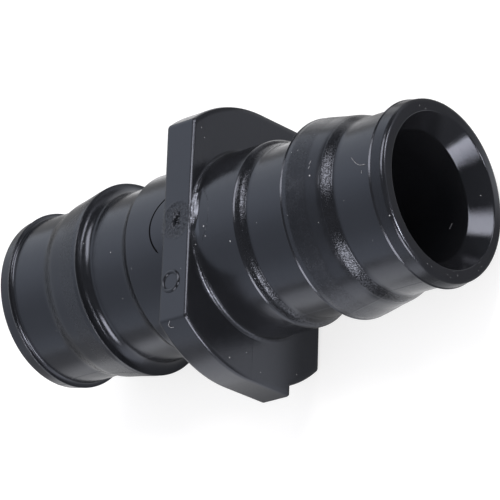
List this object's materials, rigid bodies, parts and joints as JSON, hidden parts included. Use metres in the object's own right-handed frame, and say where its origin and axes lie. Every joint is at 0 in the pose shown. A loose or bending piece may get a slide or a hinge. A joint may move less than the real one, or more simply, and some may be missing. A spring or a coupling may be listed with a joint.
{
  "type": "pex coupling",
  "caption": "Moulded plastic coupling for expanded tube: a ribbed spigot on each side of a stop flange with flats, and one straight waterway through.",
  "frame": {"origin": "on the common axis of the two spigots, at the middle of the flange", "axes": "+X along the waterway, +Z square to the flange's flats towards the gated one, +Y across the flange's ears"},
  "size_m": [0.063, 0.0352, 0.0248],
  "materials": {
    "black_plastic": "satin"
  },
  "bodies": {
    "root": {"coupling_body": "black_plastic"}
  },
  "joints": []
}
